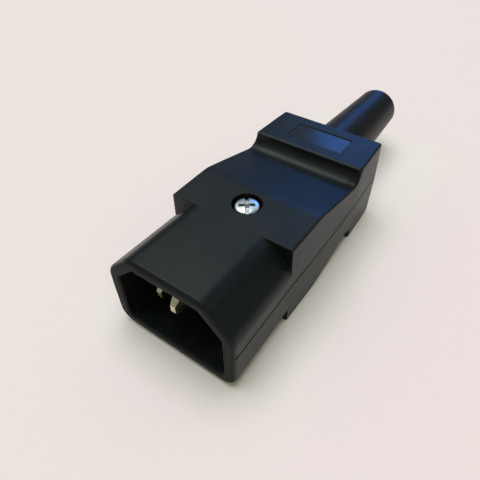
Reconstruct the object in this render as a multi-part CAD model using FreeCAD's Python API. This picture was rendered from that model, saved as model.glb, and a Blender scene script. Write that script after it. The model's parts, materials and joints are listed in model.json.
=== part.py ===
"""Rewireable in-line mains plug with a bevelled male shroud.

Two moulded half shells meet on a parting plane that runs through the shroud. They hold three pins with
terminal blocks, a cord clamp and a rubber boot, and one screw from above draws them together on a nut
trapped in the base.

Working axes while modelling: y runs from the shroud's rim to the tail, z is measured from the parting
plane and x from the middle. Each finished piece is then moved so that the plug stands on z = 0 with
the middle of its length at y = 0. Millimetres.
"""

import FreeCAD
import Part
import math
import os

# Shroud, which a bevelled female connector slides into
CAVITY_WIDTH = 24.4
CAVITY_HEIGHT = 16.4
CAVITY_BEVEL = 4.7
CAVITY_DEPTH = 17.0
CAVITY_CORNER_R = 1.6
SHROUD_WALL = 1.85
SHROUD_SIDE_WALL = 2.25
SHROUD_BEVEL_R = 4.0
SHROUD_CORNER_R = 3.4
SHROUD_FLARE = 0.5
RIM_ROUND = 0.9
MOUTH_CHAMFER = 0.3
PARTITION_WALL = 2.0

# Housing
SHELL_WALL = 2.0
SIDE_DRAFT_DEG = 1.3
SIDE_STRAIGHT_LENGTH = 6.0
TAIL_NARROWING = 1.15
FLAT_LENGTH = 11.0
WAIST_SLOPE_DEG = 13.4
WAIST_BEND_R = 10.0
WAIST_FILLET_R = 2.8
WAIST_FILLET_SHARE = 0.98
TAIL_BLOCK_LENGTH = 12.3
TAIL_BLOCK_DROP = 0.75
BASE_STEP = 1.2
LONG_EDGE_R = 0.45
BASE_CHAMFER = 0.4
TAIL_CORNER_R = 0.5
PARTING_HEIGHT = 0.2
PARTING_DEPTH = 0.3
LABEL_RECESS_WIDTH = 14.0
LABEL_RECESS_LENGTH = 6.2
LABEL_RECESS_DEPTH = 0.2
LIP_HEIGHT = 1.2
LIP_WALL = 0.8

# Pins and their terminals
PIN_THICKNESS = 2.0
PIN_HEIGHT = 4.0
PIN_SPACING = 14.0
PIN_TIP_CHAMFER = 1.2
PIN_TIP_TAPER = 0.45
PIN_TIP_LENGTH = 2.0
EARTH_PIN_Z = 1.4
EARTH_RISE = 4.0
EARTH_TIP_RECESS = 1.4
LIVE_TIP_RECESS = 4.5
BLOCK_WIDTH = 5.4
BLOCK_HEIGHT = 6.4
BLOCK_LENGTH = 8.6
BLOCK_CORNER_R = 0.5
WIRE_HOLE_R = 1.4
WIRE_HOLE_DEPTH = 6.5
STRAP_RUN = 1.65
STRAP_THICKNESS = 1.0
STRAP_WIDTH = 5.0
EYE_WALL = 1.4
TERMINAL_SCREW_R = 1.4
TERMINAL_SCREW_LENGTH = 4.0
TERMINAL_HEAD_R = 1.8
TERMINAL_HEAD_HEIGHT = 1.3
CRADLE_WALL = 1.2
CRADLE_HEIGHT = 1.8

# Cover screw and nut
SCREW_R = 1.45
SCREW_HEAD_R = 2.65
SCREW_HEAD_HEIGHT = 2.2
SCREW_HEAD_SINK = 0.3
SCREW_CROWN_CHAMFER = 0.45
SCREW_TURN_DEG = -54.0
RECESS_WIDTH = 0.75
RECESS_DEPTH = 1.4
SLOT_DEPTH = 0.9
CROSS_SPAN = 3.2
COUNTERBORE_CLEARANCE = 0.5
PILLAR_WALL = 1.2
NUT_ACROSS_FLATS = 5.5
NUT_HEIGHT = 2.4
NUT_SINK = 0.4

# Cord clamp, sized by the cord that the plug takes
CORD_R = 3.6
WIRE_GAP = 2.95
CLAMP_SETBACK = 4.5
CLAMP_BAR_DEPTH = 4.6
CLAMP_BAR_WALL = 1.4
CLAMP_BAR_HEIGHT = 2.0
CLAMP_HEADROOM = 0.5
CLAMP_HEAD_GAP = 1.2
CLAMP_POST_R = 2.5
CLAMP_SCREW_R = 1.2
CLAMP_SCREW_LENGTH = 5.0
CLAMP_HEAD_R = 2.2
CLAMP_HEAD_HEIGHT = 1.3
SADDLE_WALL = 2.4

# Boot
BOOT_LENGTH = 31.5
BOOT_TIP_WALL = 1.9
BOOT_TIP_ROUND = 1.3
BOOT_NECK_WALL = 2.25
BOOT_SHOULDER = 1.2
BOOT_FLANGE_LIP = 1.3
BOOT_FLANGE_WIDTH = 2.6
BOOT_SLEEVE_WALL = 1.4
BOOT_SLEEVE_LENGTH = 3.0
RETAINING_RIB_WALL = 1.4

# Slots and clearances
SLIDE_CLEARANCE = 0.1
THREAD_CLEARANCE = 0.05
SCREW_SLOT_WIDTH = 0.6
SCREW_SLOT_DEPTH = 0.6

# Heights worked out from the sizes above
TOP_Z = CAVITY_HEIGHT / 2 + SHROUD_WALL
BASE_Z = -(TOP_Z + BASE_STEP)
TAIL_BLOCK_TOP_Z = TOP_Z - TAIL_BLOCK_DROP
SCREW_SEAT_Z = TOP_Z - SCREW_HEAD_SINK - SCREW_HEAD_HEIGHT
NUT_TOP_Z = BASE_Z + NUT_SINK + NUT_HEIGHT
LIVE_PIN_Z = EARTH_PIN_Z - EARTH_RISE
LIVE_BLOCK_TOP_Z = LIVE_PIN_Z + BLOCK_HEIGHT / 2
EARTH_BLOCK_TOP_Z = EARTH_PIN_Z + PIN_HEIGHT / 2

# Widths and radii worked out
HALF_WIDTH = CAVITY_WIDTH / 2 + SHROUD_SIDE_WALL
LIVE_X = PIN_SPACING / 2
CLAMP_X = CORD_R + CLAMP_BAR_WALL + CLAMP_HEAD_R + CLAMP_HEAD_GAP
PILLAR_R = SCREW_R + SLIDE_CLEARANCE + PILLAR_WALL
COUNTERBORE_R = SCREW_HEAD_R + COUNTERBORE_CLEARANCE
EYE_HOLE_R = PILLAR_R + 2 * SLIDE_CLEARANCE
EYE_R = EYE_HOLE_R + EYE_WALL
BOOT_TIP_R = CORD_R + BOOT_TIP_WALL
BOOT_NECK_R = CORD_R + BOOT_NECK_WALL
BOOT_BASE_R = BOOT_NECK_R + BOOT_SHOULDER

# Places along the plug, each measured on from the one before
NOSE_LENGTH = CAVITY_DEPTH + PARTITION_WALL
WAIST_START = NOSE_LENGTH + FLAT_LENGTH
SIDE_STRAIGHT_END = NOSE_LENGTH + SIDE_STRAIGHT_LENGTH
SCREW_Y = NOSE_LENGTH + STRAP_RUN + EYE_R
EARTH_BLOCK_Y = SCREW_Y + EYE_R + STRAP_THICKNESS
CLAMP_Y = EARTH_BLOCK_Y + BLOCK_LENGTH + WIRE_GAP + CLAMP_BAR_DEPTH / 2
TAIL_BLOCK_START = CLAMP_Y + CLAMP_SETBACK
SHELL_LENGTH = TAIL_BLOCK_START + TAIL_BLOCK_LENGTH
CHAMBER_END = SHELL_LENGTH - SHELL_WALL
FLANGE_Y = CHAMBER_END - BOOT_FLANGE_WIDTH
TOTAL_LENGTH = SHELL_LENGTH + BOOT_LENGTH

DRAFT = math.tan(math.radians(SIDE_DRAFT_DEG))
SIDE_BOW_RUN = SHELL_LENGTH - SIDE_STRAIGHT_END
SIDE_BOW_R = (SIDE_BOW_RUN ** 2 + TAIL_NARROWING ** 2) / (2 * TAIL_NARROWING)
COLUMN_HEIGHT = TOP_Z + 2 * BASE_STEP
WAIST_FALL = math.tan(math.radians(WAIST_SLOPE_DEG))
REACH = 4 * TOTAL_LENGTH
NEAR = 1e-6


def vec(x, y, z):
    """Return a point in the working axes."""
    return FreeCAD.Vector(x, y, z)


def box(x0, x1, y0, y1, z0, z1):
    """Return a box between two corners."""
    return Part.makeBox(x1 - x0, y1 - y0, z1 - z0, vec(x0, y0, z0))


def upright(radius, x, y, z0, z1):
    """Return a cylinder that stands along z."""
    return Part.makeCylinder(radius, z1 - z0, vec(x, y, z0), vec(0, 0, 1))


def lengthwise(radius, y0, y1, x=0.0, z=0.0):
    """Return a cylinder that lies along y."""
    return Part.makeCylinder(radius, y1 - y0, vec(x, y0, z), vec(0, 1, 0))


def prism(points, direction):
    """Return the solid that a closed polygon sweeps along a direction."""
    return Part.Face(Part.makePolygon(points + points[:1])).extrude(direction)


def fuse(first, *others):
    """Return the clean union of several solids."""
    return first.fuse(list(others)).removeSplitter()


def slab(z):
    """Return a large plate between the parting plane and a height."""
    return box(-REACH, REACH, -REACH, REACH, min(0, z), max(0, z))


def side_half_width(z):
    """Return the housing's half width at a height, narrowed by the mould draft."""
    return HALF_WIDTH - abs(z) * DRAFT


def symmetric_prism(right_side, y0, y1):
    """Return a lengthwise prism from the right-hand half of its section, listed bottom to top."""
    points = [vec(x, y0, z) for x, z in right_side] + [vec(-x, y0, z) for x, z in reversed(right_side)]
    return prism(points, vec(0, y1 - y0, 0))


def edges_along_y(shape, keep):
    """Return the straight lengthwise edges whose height the test keeps."""
    found = []
    for edge in shape.Edges:
        start = edge.Vertexes[0].Point
        end = edge.Vertexes[-1].Point
        if abs(start.x - end.x) + abs(start.z - end.z) < NEAR and keep(start.z):
            found.append(edge)
    return found


def cavity_prism(y0, y1):
    """Return the bevelled space inside the shroud between two places along the plug."""
    half = CAVITY_WIDTH / 2
    level = CAVITY_HEIGHT / 2
    section = [(half, -level), (half, level - CAVITY_BEVEL), (half - CAVITY_BEVEL, level)]
    solid = symmetric_prism(section, y0, y1)
    return solid.makeFillet(CAVITY_CORNER_R, edges_along_y(solid, lambda z: z < 0))


def nose_outline(y, grown):
    """Return the rounded outline of the nose at a place along it, grown by a length all round."""
    top = TOP_Z + grown
    bevel = CAVITY_BEVEL + (SHROUD_WALL + grown) * (2 - math.sqrt(2))
    bevel_z = top - bevel
    bevel_x = side_half_width(bevel_z) + grown
    below = [(side_half_width(top) + grown, -top), (HALF_WIDTH + grown, 0)]
    above = [(bevel_x, bevel_z), (bevel_x - bevel, top)]
    block = symmetric_prism(below + above, y, y + NOSE_LENGTH)
    block = block.makeFillet(SHROUD_CORNER_R, edges_along_y(block, lambda z: z < -TOP_Z / 2))
    block = block.makeFillet(SHROUD_BEVEL_R, edges_along_y(block, lambda z: z > bevel_z / 2))
    return [face for face in block.Faces if face.BoundBox.YMax < y + NEAR][0].OuterWire


def nose_body(inset):
    """Return the nose without its cavity, flared to the rim and inset by a wall."""
    return Part.makeLoft([nose_outline(0, SHROUD_FLARE - inset), nose_outline(NOSE_LENGTH, -inset)], True, True)


def rim_edges(nose):
    """Return the edges on the rim's face, without those on the parting plane."""
    return [edge for edge in nose.Edges if edge.BoundBox.YMax < NEAR and abs(edge.CenterOfMass.z) > NEAR]


def at_mouth(edge):
    """Tell whether an edge of the rim lies at the mouth of the cavity."""
    bounds = edge.BoundBox
    reach_x = max(-bounds.XMin, bounds.XMax)
    reach_z = max(-bounds.ZMin, bounds.ZMax)
    return reach_x < CAVITY_WIDTH / 2 + MOUTH_CHAMFER and reach_z < CAVITY_HEIGHT / 2 + MOUTH_CHAMFER


def shroud(sign):
    """Return one half of the bevelled nose with its cavity and partition."""
    nose = nose_body(0).common(slab(sign * REACH))
    nose = nose.makeFillet(RIM_ROUND, rim_edges(nose)).cut(cavity_prism(0, CAVITY_DEPTH))
    return nose.makeChamfer(MOUTH_CHAMFER, [edge for edge in rim_edges(nose) if at_mouth(edge)])


def column(inset, front, sign, height=COLUMN_HEIGHT):
    """Return the column over the housing's plan, inset by a wall, above or below the parting plane.

    Its sides run straight from the front, bow in on a tangent arc to the tail and lean in with height.
    """
    half = HALF_WIDTH - inset
    top = sign * height
    straight = symmetric_prism([(half, 0), (half - height * DRAFT, top)], front, SIDE_STRAIGHT_END)
    bowed = slab(top).common(box(-REACH, REACH, SIDE_STRAIGHT_END, SHELL_LENGTH - inset, -REACH, REACH))
    for side in (-1, 1):
        centre = vec(side * (half - SIDE_BOW_R), SIDE_STRAIGHT_END, 0)
        cone = Part.makeCone(SIDE_BOW_R, SIDE_BOW_R - height * DRAFT, height, centre, vec(0, 0, sign))
        cone.rotate(centre, vec(0, 0, 1), 90)
        bowed = bowed.common(cone)
    return fuse(straight, bowed)


def waist_level(level, y):
    """Return the height of the sloping waist at a place, from the level before its bend."""
    return level - (y - WAIST_START) * WAIST_FALL


def side_profile(inset, front, level, block_level, sign):
    """Return the side profile of one half as a wide prism, with the waist's bend and foot rounded."""
    step = TAIL_BLOCK_START + inset
    rear = SHELL_LENGTH - inset
    foot = waist_level(level, step)
    heights = [
        (front, 0),
        (front, level),
        (WAIST_START, level),
        (step, foot),
        (step, block_level),
        (rear, block_level),
        (rear, 0),
    ]
    solid = prism([vec(-REACH, y, sign * z) for y, z in heights], vec(2 * REACH, 0, 0))
    widest = (block_level - foot) * math.tan(math.radians(90 - WAIST_SLOPE_DEG) / 2)
    rounds = [
        (WAIST_BEND_R, vec(0, WAIST_START, sign * level)),
        (min(WAIST_FILLET_R, WAIST_FILLET_SHARE * widest), vec(0, step, sign * foot)),
    ]
    for radius, middle in rounds:
        solid = solid.makeFillet(radius, [e for e in solid.Edges if e.CenterOfMass.isEqual(middle, NEAR)])
    return solid


def half_body(inset, front, sign):
    """Return one half of the housing behind the nose, inset by a wall."""
    level = TOP_Z if sign > 0 else -BASE_Z
    block_level = TAIL_BLOCK_TOP_Z if sign > 0 else -BASE_Z
    profile = side_profile(inset, front, level - inset, block_level - inset, sign)
    return column(inset, front, sign).common(profile)


def soften(body, sign):
    """Round the upright tail corners, then round a cover's long edges or chamfer a base's."""
    corners = [edge for edge in body.Edges
               if abs(edge.CenterOfMass.y - SHELL_LENGTH) < NEAR and edge.BoundBox.ZLength > TOP_Z / 2]
    body = body.makeFillet(TAIL_CORNER_R, corners)
    long_edges = [edge for edge in body.Edges
                  if abs(edge.CenterOfMass.x) > HALF_WIDTH / 2 and edge.BoundBox.YLength > LONG_EDGE_R
                  and abs(edge.CenterOfMass.z) > TOP_Z / 4]
    if sign > 0:
        return body.makeFillet(LONG_EDGE_R, long_edges)
    return body.makeChamfer(BASE_CHAMFER, long_edges)


def parting_line(sign):
    """Return the cut that leaves a fine shadow line round one half at the parting plane."""
    rear = SHELL_LENGTH - PARTING_DEPTH
    core = column(PARTING_DEPTH, NOSE_LENGTH, sign, PARTING_HEIGHT)
    corners = [edge for edge in core.Edges
               if abs(edge.CenterOfMass.y - rear) < NEAR and edge.BoundBox.XLength < PARTING_HEIGHT]
    core = core.makeFillet(TAIL_CORNER_R - PARTING_DEPTH, corners)
    around = slab(sign * PARTING_HEIGHT).common(box(-REACH, REACH, 0, REACH, -REACH, REACH))
    return around.cut([core, nose_body(PARTING_DEPTH)])


def outer_shell(sign):
    """Return the outside of one half, solid behind the partition."""
    body = fuse(soften(half_body(0, NOSE_LENGTH, sign), sign), shroud(sign))
    return body.cut(parting_line(sign))


def chamber(sign):
    """Return the wiring space in one half, narrowed to the cavity's section behind the partition."""
    front = NOSE_LENGTH + SHELL_WALL
    throat = cavity_prism(NOSE_LENGTH, front + SHELL_WALL).common(slab(sign * REACH))
    return fuse(half_body(SHELL_WALL, front, sign), throat)


def pin_slot(x, z0, z1):
    """Return the cut through the partition for one pin between two heights."""
    half = PIN_THICKNESS / 2 + SLIDE_CLEARANCE
    return box(x - half, x + half, CAVITY_DEPTH - PARTITION_WALL, NOSE_LENGTH + PARTITION_WALL, z0, z1)


def hexagon(across_flats, z0, z1):
    """Return an upright hexagonal prism on the screw's axis."""
    radius = across_flats / math.sqrt(3)
    turns = [math.radians(60 * i) for i in range(6)]
    corners = [vec(radius * math.cos(a), SCREW_Y + radius * math.sin(a), z0) for a in turns]
    return prism(corners, vec(0, 0, z1 - z0))


def boot_seat(clearance):
    """Return the boot's stepped outside within the housing, enlarged by a clearance."""
    return fuse(
        lengthwise(BOOT_NECK_R + clearance, FLANGE_Y, SHELL_LENGTH + BOOT_SHOULDER),
        lengthwise(BOOT_NECK_R + BOOT_FLANGE_LIP + clearance, FLANGE_Y - clearance, CHAMBER_END),
        lengthwise(CORD_R + BOOT_SLEEVE_WALL + clearance, FLANGE_Y - BOOT_SLEEVE_LENGTH, CHAMBER_END),
    )


def retaining_rib(space):
    """Return the cross rib in front of the boot's flange, as wide as the wiring space."""
    rear = FLANGE_Y - SLIDE_CLEARANCE
    return space.common(box(-REACH, REACH, rear - RETAINING_RIB_WALL, rear, -REACH, REACH))


def cradle(x, y0, top, space):
    """Return the shelf, end stop and cheeks that a terminal block sits in."""
    half = BLOCK_WIDTH / 2
    bottom = top - BLOCK_HEIGHT
    y1 = y0 + BLOCK_LENGTH
    rim = bottom + CRADLE_HEIGHT
    outside = half + SLIDE_CLEARANCE + CRADLE_WALL
    tub = box(x - outside, x + outside, y0, y1 + SLIDE_CLEARANCE + CRADLE_WALL, BASE_Z, rim)
    room = box(x - half - SLIDE_CLEARANCE, x + half + SLIDE_CLEARANCE, y0, y1 + SLIDE_CLEARANCE, bottom, rim)
    wire = lengthwise(WIRE_HOLE_R, y1, y1 + REACH, x, top - BLOCK_HEIGHT / 2)
    return tub.cut([room, wire]).common(space)


def clamp_levels():
    """Return the crown's top, the bar's seat and the arch's centre of the cord clamp."""
    crown = waist_level(TOP_Z - SHELL_WALL, CLAMP_Y + CLAMP_BAR_DEPTH / 2) - CLAMP_HEADROOM
    arch_center = crown - CLAMP_BAR_WALL - CORD_R
    seat = arch_center + CLAMP_BAR_WALL / 2
    return crown, seat, arch_center


def base_pillar():
    """Return the screw's pillar in the base, wider round the nut."""
    nut_corner = (NUT_ACROSS_FLATS + 2 * SLIDE_CLEARANCE) / math.sqrt(3)
    foot = BASE_Z + SHELL_WALL / 2
    return fuse(
        upright(PILLAR_R, 0, SCREW_Y, foot, 0),
        upright(nut_corner + PILLAR_WALL, 0, SCREW_Y, foot, NUT_TOP_Z + PILLAR_WALL),
    )


def clamp_supports(space):
    """Return the two clamp posts and the saddle between them."""
    seat = clamp_levels()[1]
    half = SADDLE_WALL / 2
    supports = box(-CLAMP_X, CLAMP_X, CLAMP_Y - half, CLAMP_Y + half, BASE_Z, seat - CLAMP_BAR_WALL)
    for side in (-1, 1):
        supports = fuse(supports, upright(CLAMP_POST_R, side * CLAMP_X, CLAMP_Y, BASE_Z, seat))
    return supports.common(space)


def base_shell():
    """Return the lower housing half."""
    space = chamber(-1)
    seat = clamp_levels()[1]
    body = fuse(
        outer_shell(-1).cut(space),
        base_pillar(),
        cradle(-LIVE_X, NOSE_LENGTH, LIVE_BLOCK_TOP_Z, space),
        cradle(LIVE_X, NOSE_LENGTH, LIVE_BLOCK_TOP_Z, space),
        cradle(0, EARTH_BLOCK_Y, EARTH_BLOCK_TOP_Z, space),
        clamp_supports(space),
        retaining_rib(space),
    )
    cuts = [
        boot_seat(SLIDE_CLEARANCE),
        upright(SCREW_R + SLIDE_CLEARANCE, 0, SCREW_Y, BASE_Z - SHELL_WALL, SHELL_WALL),
        hexagon(NUT_ACROSS_FLATS + 2 * SLIDE_CLEARANCE, BASE_Z - SHELL_WALL, NUT_TOP_Z),
        lengthwise(CORD_R, CLAMP_Y - SADDLE_WALL, CLAMP_Y + SADDLE_WALL),
        pin_slot(0, EARTH_PIN_Z - PIN_HEIGHT / 2 - SLIDE_CLEARANCE, TOP_Z),
    ]
    for side in (-1, 1):
        cuts.append(pin_slot(side * LIVE_X, LIVE_PIN_Z - PIN_HEIGHT / 2 - SLIDE_CLEARANCE, TOP_Z))
        cuts.append(upright(CLAMP_SCREW_R + THREAD_CLEARANCE, side * CLAMP_X, CLAMP_Y,
                            seat - CLAMP_SCREW_LENGTH, seat + SHELL_WALL))
    return body.cut(cuts)


def cover_lip():
    """Return the thin lips that lap inside the base's side walls, from the nose to the clamp."""
    front = NOSE_LENGTH + 2 * SHELL_WALL
    rear = CLAMP_Y - CLAMP_POST_R - SHELL_WALL
    gap = SHELL_WALL + SLIDE_CLEARANCE
    lips = []
    for sign, outside in ((1, SHELL_WALL), (-1, gap)):
        ring = column(outside, NOSE_LENGTH, sign).cut(column(gap + LIP_WALL, 0, sign))
        lips.append(ring.common(box(-REACH, REACH, front, rear, -LIP_HEIGHT, LIP_HEIGHT)))
    return lips


def cover_shell():
    """Return the upper housing half."""
    space = chamber(1)
    half = PIN_THICKNESS / 2
    tabs = [box(x - half, x + half, CAVITY_DEPTH, NOSE_LENGTH, LIVE_PIN_Z, SHELL_WALL)
            for x in (-LIVE_X, LIVE_X)]
    body = fuse(
        outer_shell(1).cut(space),
        upright(PILLAR_R, 0, SCREW_Y, 0, SCREW_SEAT_Z),
        upright(COUNTERBORE_R + PILLAR_WALL, 0, SCREW_Y, SCREW_SEAT_Z - SHELL_WALL, TOP_Z - SHELL_WALL / 2),
        retaining_rib(space),
        *cover_lip(),
        *tabs,
    )
    recess_y = TAIL_BLOCK_START + TAIL_BLOCK_LENGTH / 2
    cuts = [
        boot_seat(SLIDE_CLEARANCE),
        upright(SCREW_R + SLIDE_CLEARANCE, 0, SCREW_Y, -SHELL_WALL, TOP_Z),
        upright(COUNTERBORE_R, 0, SCREW_Y, SCREW_SEAT_Z, TOP_Z + SHELL_WALL),
        pin_slot(0, BASE_Z, EARTH_PIN_Z + PIN_HEIGHT / 2 + SLIDE_CLEARANCE),
        box(-LABEL_RECESS_WIDTH / 2, LABEL_RECESS_WIDTH / 2, recess_y - LABEL_RECESS_LENGTH / 2,
            recess_y + LABEL_RECESS_LENGTH / 2, TAIL_BLOCK_TOP_Z - LABEL_RECESS_DEPTH, TOP_Z + SHELL_WALL),
    ]
    for x in (-LIVE_X, LIVE_X):
        cuts.append(pin_slot(x, BASE_Z, LIVE_PIN_Z + PIN_HEIGHT / 2 + SLIDE_CLEARANCE))
    return body.cut(cuts)


def cover_screw():
    """Return the pan-head screw with a slot across its head and a cross recess in its middle."""
    head_top = SCREW_SEAT_Z + SCREW_HEAD_HEIGHT
    head = upright(SCREW_HEAD_R, 0, 0, SCREW_SEAT_Z, head_top)
    crown = [edge for edge in head.Edges if edge.BoundBox.ZMin > head_top - NEAR]
    head = head.makeChamfer(SCREW_CROWN_CHAMFER, crown)
    body = fuse(head, upright(SCREW_R, 0, 0, BASE_Z + NUT_SINK, SCREW_SEAT_Z))
    half = RECESS_WIDTH / 2
    arm = CROSS_SPAN / 2
    floor = head_top - RECESS_DEPTH
    body = body.cut([
        box(-SCREW_HEAD_R, SCREW_HEAD_R, -half, half, head_top - SLOT_DEPTH, head_top),
        box(-arm, arm, -half, half, floor, head_top),
        box(-half, half, -arm, arm, floor, head_top),
    ])
    body.rotate(vec(0, 0, 0), vec(0, 0, 1), SCREW_TURN_DEG)
    body.translate(vec(0, SCREW_Y, 0))
    return body


def cover_nut():
    """Return the hexagon nut trapped in the base."""
    low = BASE_Z + NUT_SINK
    return hexagon(NUT_ACROSS_FLATS, low, NUT_TOP_Z).cut(
        upright(SCREW_R + THREAD_CLEARANCE, 0, SCREW_Y, low, NUT_TOP_Z))


def blade(x, z, tip_y, rear_y):
    """Return a flat pin whose tip is thinned from both sides and chamfered above and below."""
    half = PIN_THICKNESS / 2
    level = PIN_HEIGHT / 2
    plan = [(half - PIN_TIP_TAPER, tip_y), (half, tip_y + PIN_TIP_LENGTH), (half, rear_y)]
    side = [(level - PIN_TIP_CHAMFER, tip_y), (level, tip_y + PIN_TIP_CHAMFER), (level, rear_y)]
    right = [vec(x + across, y, z - level) for across, y in plan]
    left = [vec(x - across, y, z - level) for across, y in reversed(plan)]
    above = [vec(x - half, y, z + rise) for rise, y in side]
    below = [vec(x - half, y, z - rise) for rise, y in reversed(side)]
    return prism(right + left, vec(0, 0, PIN_HEIGHT)).common(prism(above + below, vec(PIN_THICKNESS, 0, 0)))


def terminal_block(x, y0, top):
    """Return a pillar terminal with its wire hole from behind."""
    half = BLOCK_WIDTH / 2
    y1 = y0 + BLOCK_LENGTH
    block = box(x - half, x + half, y0, y1, top - BLOCK_HEIGHT, top)
    corners = [edge for edge in block.Edges if edge.BoundBox.ZLength > BLOCK_HEIGHT / 2]
    block = block.makeFillet(BLOCK_CORNER_R, corners)
    return block.cut(lengthwise(WIRE_HOLE_R, y1 - WIRE_HOLE_DEPTH, y1, x, top - BLOCK_HEIGHT / 2))


def terminal_screw_hole(x, y0, top):
    """Return the threaded hole from a block's top to just past its screw's end."""
    depth = TERMINAL_SCREW_LENGTH + THREAD_CLEARANCE
    return upright(TERMINAL_SCREW_R + THREAD_CLEARANCE, x, y0 + BLOCK_LENGTH / 2, top - depth, top)


def live_pin(side):
    """Return one outer pin, blade and terminal block in one piece."""
    x = side * LIVE_X
    pin = fuse(
        blade(x, LIVE_PIN_Z, LIVE_TIP_RECESS, NOSE_LENGTH + STRAP_RUN),
        terminal_block(x, NOSE_LENGTH, LIVE_BLOCK_TOP_Z),
    )
    return pin.cut(terminal_screw_hole(x, NOSE_LENGTH, LIVE_BLOCK_TOP_Z))


def earth_pin():
    """Return the middle pin, whose strap passes round the screw's tube in an eye."""
    top = EARTH_BLOCK_TOP_Z
    under = top - STRAP_THICKNESS
    half = STRAP_WIDTH / 2
    pin = fuse(
        blade(0, EARTH_PIN_Z, EARTH_TIP_RECESS, NOSE_LENGTH + STRAP_RUN),
        box(-half, half, NOSE_LENGTH, EARTH_BLOCK_Y + STRAP_THICKNESS, under, top),
        upright(EYE_R, 0, SCREW_Y, under, top),
        terminal_block(0, EARTH_BLOCK_Y, top),
    )
    return pin.cut([
        upright(EYE_HOLE_R, 0, SCREW_Y, BASE_Z, TOP_Z),
        terminal_screw_hole(0, EARTH_BLOCK_Y, top),
    ])


def slotted_screw(x, y, seat, shank_r, shank_length, head_r, head_height):
    """Return a cheese-head screw, head up on its seat, with a driver slot."""
    head_top = seat + head_height
    half = SCREW_SLOT_WIDTH / 2
    body = fuse(upright(shank_r, x, y, seat - shank_length, head_top), upright(head_r, x, y, seat, head_top))
    return body.cut(box(x - head_r, x + head_r, y - half, y + half, head_top - SCREW_SLOT_DEPTH, head_top))


def terminal_screws():
    """Return the three terminal screws."""
    places = [
        (-LIVE_X, NOSE_LENGTH, LIVE_BLOCK_TOP_Z),
        (LIVE_X, NOSE_LENGTH, LIVE_BLOCK_TOP_Z),
        (0, EARTH_BLOCK_Y, EARTH_BLOCK_TOP_Z),
    ]
    return Part.makeCompound([
        slotted_screw(x, y0 + BLOCK_LENGTH / 2, top, TERMINAL_SCREW_R, TERMINAL_SCREW_LENGTH,
                      TERMINAL_HEAD_R, TERMINAL_HEAD_HEIGHT)
        for x, y0, top in places
    ])


def cord_clamp_bar():
    """Return the arched bar that presses the cord's sheath on the saddle."""
    crown, seat, arch_center = clamp_levels()
    y0 = CLAMP_Y - CLAMP_BAR_DEPTH / 2
    y1 = CLAMP_Y + CLAMP_BAR_DEPTH / 2
    end = CLAMP_X + CLAMP_HEAD_R
    arch = lengthwise(CORD_R + CLAMP_BAR_WALL, y0, y1, 0, arch_center)
    bar = fuse(box(-end, end, y0, y1, seat, seat + CLAMP_BAR_HEIGHT), arch)
    bar = bar.common(box(-end, end, y0, y1, seat, crown + CLAMP_BAR_WALL))
    cuts = [lengthwise(CORD_R, y0, y1, 0, arch_center)]
    for side in (-1, 1):
        cuts.append(upright(CLAMP_SCREW_R + SLIDE_CLEARANCE, side * CLAMP_X, CLAMP_Y, seat, TOP_Z))
    return bar.cut(cuts)


def cord_clamp_screws():
    """Return the bar's two screws."""
    seat = clamp_levels()[1] + CLAMP_BAR_HEIGHT
    return Part.makeCompound([
        slotted_screw(side * CLAMP_X, CLAMP_Y, seat, CLAMP_SCREW_R, CLAMP_SCREW_LENGTH,
                      CLAMP_HEAD_R, CLAMP_HEAD_HEIGHT)
        for side in (-1, 1)
    ])


def strain_relief_boot():
    """Return the rubber boot: a trapped flange, a neck through the tail wall and a tapered tube."""
    tube = Part.makeCone(BOOT_BASE_R, BOOT_TIP_R, BOOT_LENGTH, vec(0, SHELL_LENGTH, 0), vec(0, 1, 0))
    tip = [edge for edge in tube.Edges if edge.BoundBox.YMin > TOTAL_LENGTH - NEAR]
    tube = tube.makeFillet(BOOT_TIP_ROUND, tip)
    return fuse(tube, boot_seat(0)).cut(lengthwise(CORD_R, 0, TOTAL_LENGTH))


def export(name, shape):
    """Move a piece to the part's own frame and write it."""
    shape.translate(vec(0, -TOTAL_LENGTH / 2, -BASE_Z))
    shape.exportStep(os.path.join("parts", name + ".step"))
    print(name, "solids", len(shape.Solids), "valid", shape.isValid(), "volume", round(shape.Volume, 2))


def main():
    """Build every piece and write one file for each."""
    os.makedirs("parts", exist_ok=True)
    export("base_shell", base_shell())
    export("cover_shell", cover_shell())
    export("cover_screw", cover_screw())
    export("cover_nut", cover_nut())
    export("line_pin", live_pin(-1))
    export("neutral_pin", live_pin(1))
    export("earth_pin", earth_pin())
    export("terminal_screws", terminal_screws())
    export("cord_clamp_bar", cord_clamp_bar())
    export("cord_clamp_screws", cord_clamp_screws())
    export("strain_relief_boot", strain_relief_boot())


main()
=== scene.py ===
"""Looks of a rewireable in-line mains plug: its finishes, fine metal pieces, table, light and camera."""

import json
import logging
import math
from dataclasses import dataclass
from enum import Enum
from typing import Any, Optional, Sequence, Union

import bmesh
import bpy
from mathutils import Matrix, Quaternion, Vector

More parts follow.
